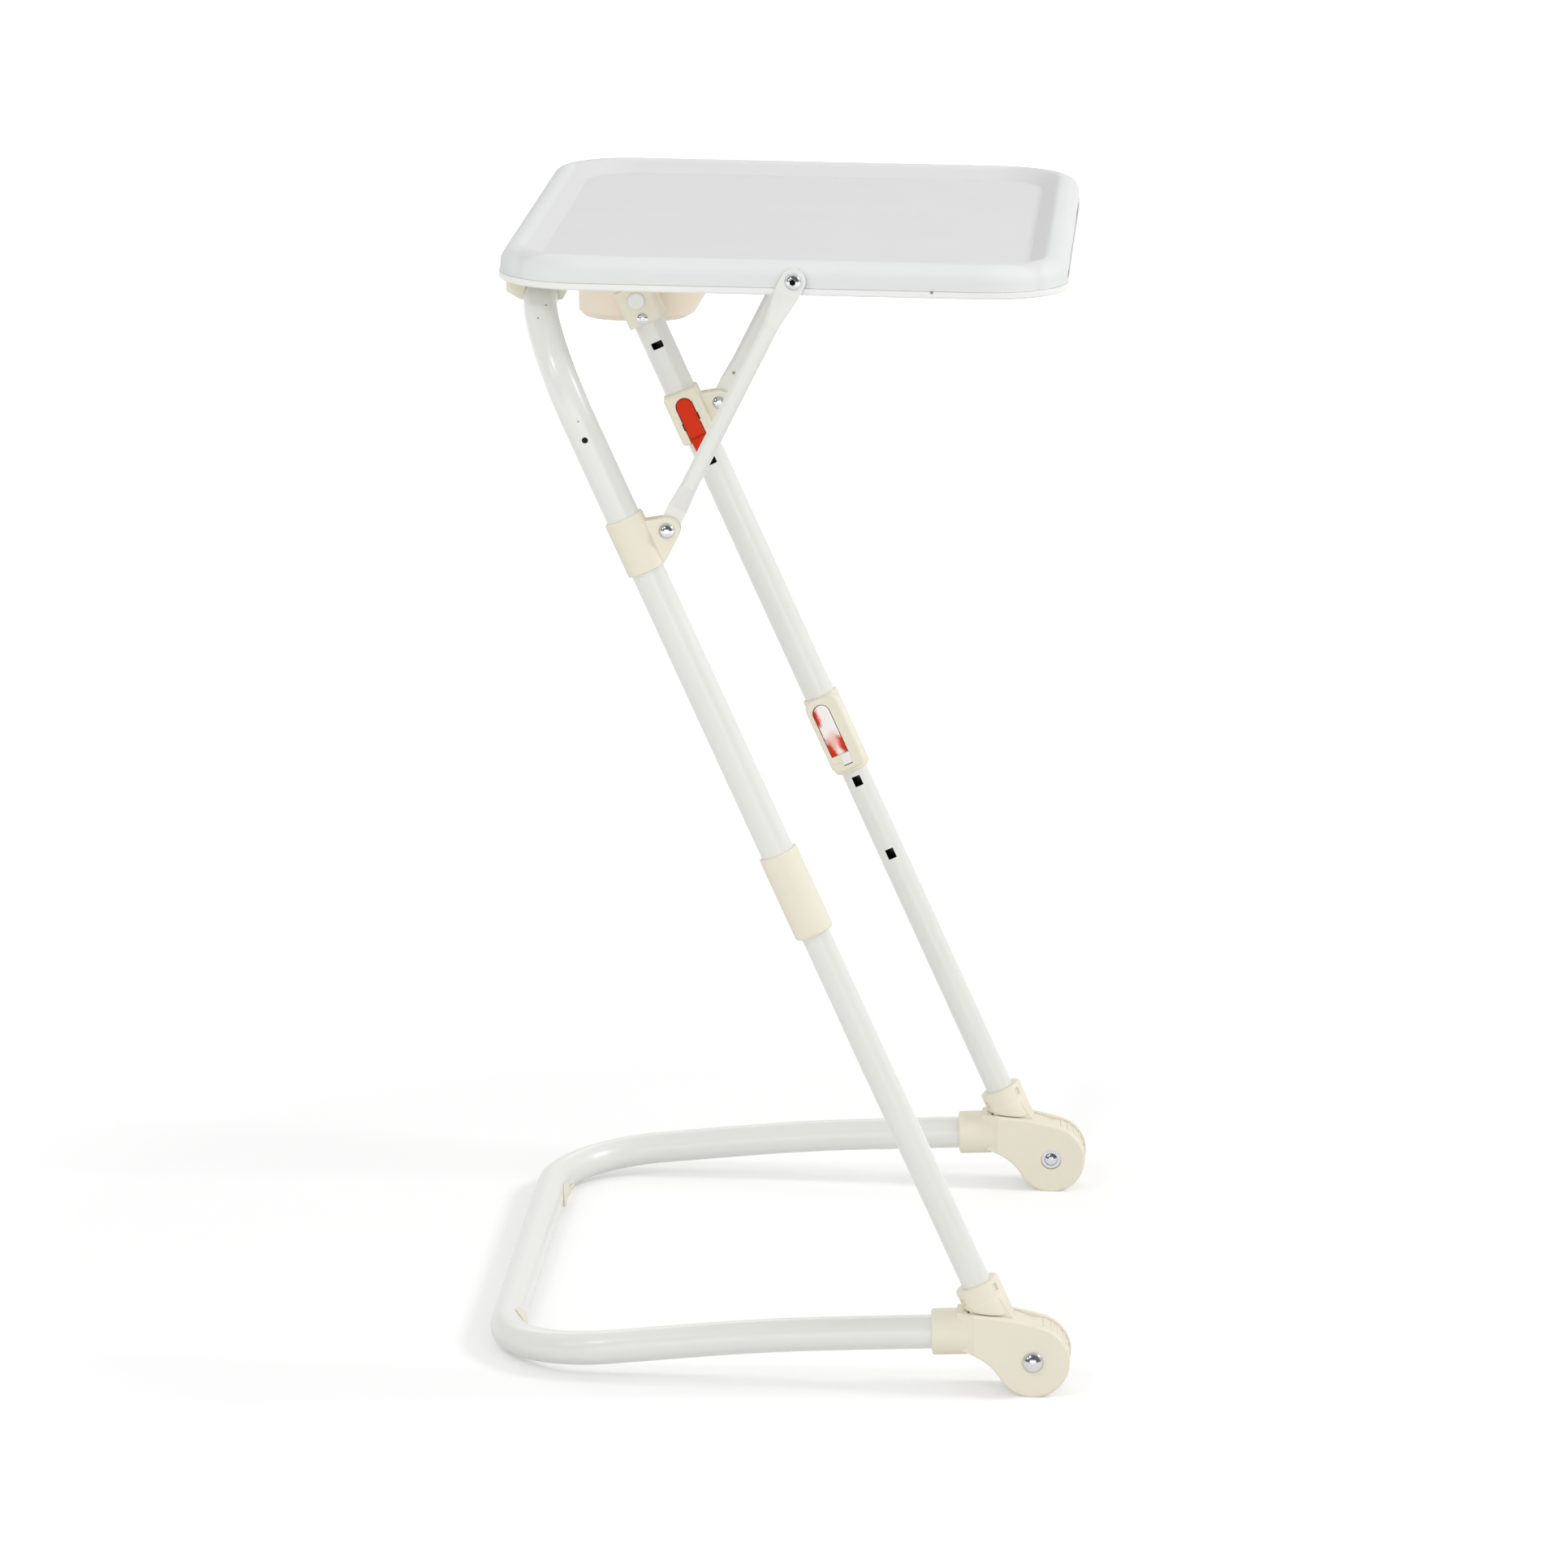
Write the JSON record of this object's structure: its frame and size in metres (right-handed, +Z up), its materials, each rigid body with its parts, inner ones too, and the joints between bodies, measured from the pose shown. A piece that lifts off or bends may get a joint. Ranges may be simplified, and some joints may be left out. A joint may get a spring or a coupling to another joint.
{
  "type": "folding tray table",
  "caption": "Slim folding side table: dished plastic tray on slanted telescoping tube legs, U-shaped base, tray struts on sliders, rocker catches and a clip-on cup holder.",
  "frame": {"origin": "on the floor under the middle of the bounding box, the cup holder included", "axes": "+X across the tray's short side from the closed end of the base to the hinges, +Y along the tray's long side to the leg with the cup holder, +Z up"},
  "size_m": [0.3846, 0.605, 0.7334],
  "materials": {
    "white_enamel": "gloss warm white enamel on steel tube",
    "cream_plastic": "moulded cream plastic, satin",
    "tray_plastic": "cool white moulded plastic with a fine grain",
    "lip_plastic": "warm white moulded plastic, satin",
    "red_plastic": "red moulded plastic",
    "bright_zinc": "bright plated fasteners",
    "spring_steel": "bare spring steel"
  },
  "bodies": {
    "lower_legs": {"lower_leg_near": "white_enamel", "lower_leg_far": "white_enamel", "leg_knuckle_near": "cream_plastic", "leg_knuckle_far": "cream_plastic", "leg_glide_near": "cream_plastic", "leg_glide_far": "cream_plastic"},
    "base": {"base_tube": "white_enamel", "base_pad_near": "cream_plastic", "base_pad_far": "cream_plastic", "hinge_housing_near": "cream_plastic", "hinge_housing_far": "cream_plastic", "hinge_bolt_near": "bright_zinc", "hinge_bolt_far": "bright_zinc", "hinge_washers": "bright_zinc", "hinge_screws": "bright_zinc"},
    "upper_frame": {"upper_tube": "white_enamel", "height_sleeve_near": "cream_plastic", "height_sleeve_far": "cream_plastic", "height_button_pin": "spring_steel", "height_button_spring": "spring_steel", "cup_bracket": "cream_plastic", "cup_bracket_screw": "bright_zinc"},
    "height_button": {"height_button": "red_plastic"},
    "tray": {"tray_top": "tray_plastic", "tray_pan": "lip_plastic", "pivot_saddle_near": "cream_plastic", "pivot_saddle_far": "cream_plastic", "saddle_screws": "bright_zinc"},
    "sliders": {"slider_near": "cream_plastic", "slider_far": "cream_plastic", "slider_pin_near": "bright_zinc", "slider_pin_far": "bright_zinc", "angle_button_pin": "spring_steel", "angle_button_spring": "spring_steel"},
    "angle_button": {"angle_button": "red_plastic"},
    "struts": {"strut_near": "white_enamel", "strut_far": "white_enamel", "strut_screw_near": "bright_zinc", "strut_screw_far": "bright_zinc"},
    "cup": {"cup_holder": "cream_plastic", "cup_pivot": "lip_plastic"}
  },
  "joints": [
    {"name": "base_fold", "type": "hinge", "parent": "lower_legs", "child": "base", "pos_m": [0.1683, -0.0425, 0.0234], "axis": [0, -1, 0], "range_deg": [0, 290]},
    {"name": "height_slide", "type": "slide", "parent": "lower_legs", "child": "upper_frame", "axis": [-0.4247, 0, 0.9053], "range_m": [-0.1148, 0]},
    {"name": "height_press", "type": "hinge", "parent": "upper_frame", "child": "height_button", "pos_m": [0.00911, 0.1819, 0.3298], "axis": [0.9053, 0, 0.4247], "range_deg": [0, 4.5], "stiffness_Nm_per_rad": 1.2, "springref_deg": -1.72},
    {"name": "tray_fold", "type": "hinge", "parent": "upper_frame", "child": "tray", "pos_m": [-0.16314, -0.0425, 0.69701], "axis": [0, -1, 0], "range_deg": [-64.87, 0]},
    {"name": "slider_travel", "type": "slide", "parent": "upper_frame", "child": "sliders", "axis": [0.4247, 0, -0.9053], "range_m": [0, 0.18417]},
    {"name": "strut_swing", "type": "hinge", "parent": "sliders", "child": "struts", "pos_m": [-0.07526, -0.0425, 0.56194], "axis": [0, -1, 0], "range_deg": [0, 50.38]},
    {"name": "angle_press", "type": "hinge", "parent": "sliders", "child": "angle_button", "pos_m": [-0.09323, 0.1819, 0.54799], "axis": [0.9053, 0, 0.4247], "range_deg": [0, 4.5], "stiffness_Nm_per_rad": 1.2, "springref_deg": -1.72},
    {"name": "cup_swing", "type": "hinge", "parent": "upper_frame", "child": "cup", "pos_m": [-0.13315, 0.1965, 0.63309], "axis": [0, -1, 0], "range_deg": [0, 25]}
  ],
  "couplings": [
    {"joint": "slider_travel", "follows": "tray_fold", "m_per_rad": -0.16223},
    {"joint": "strut_swing", "follows": "tray_fold", "ratio": -0.77206}
  ]
}
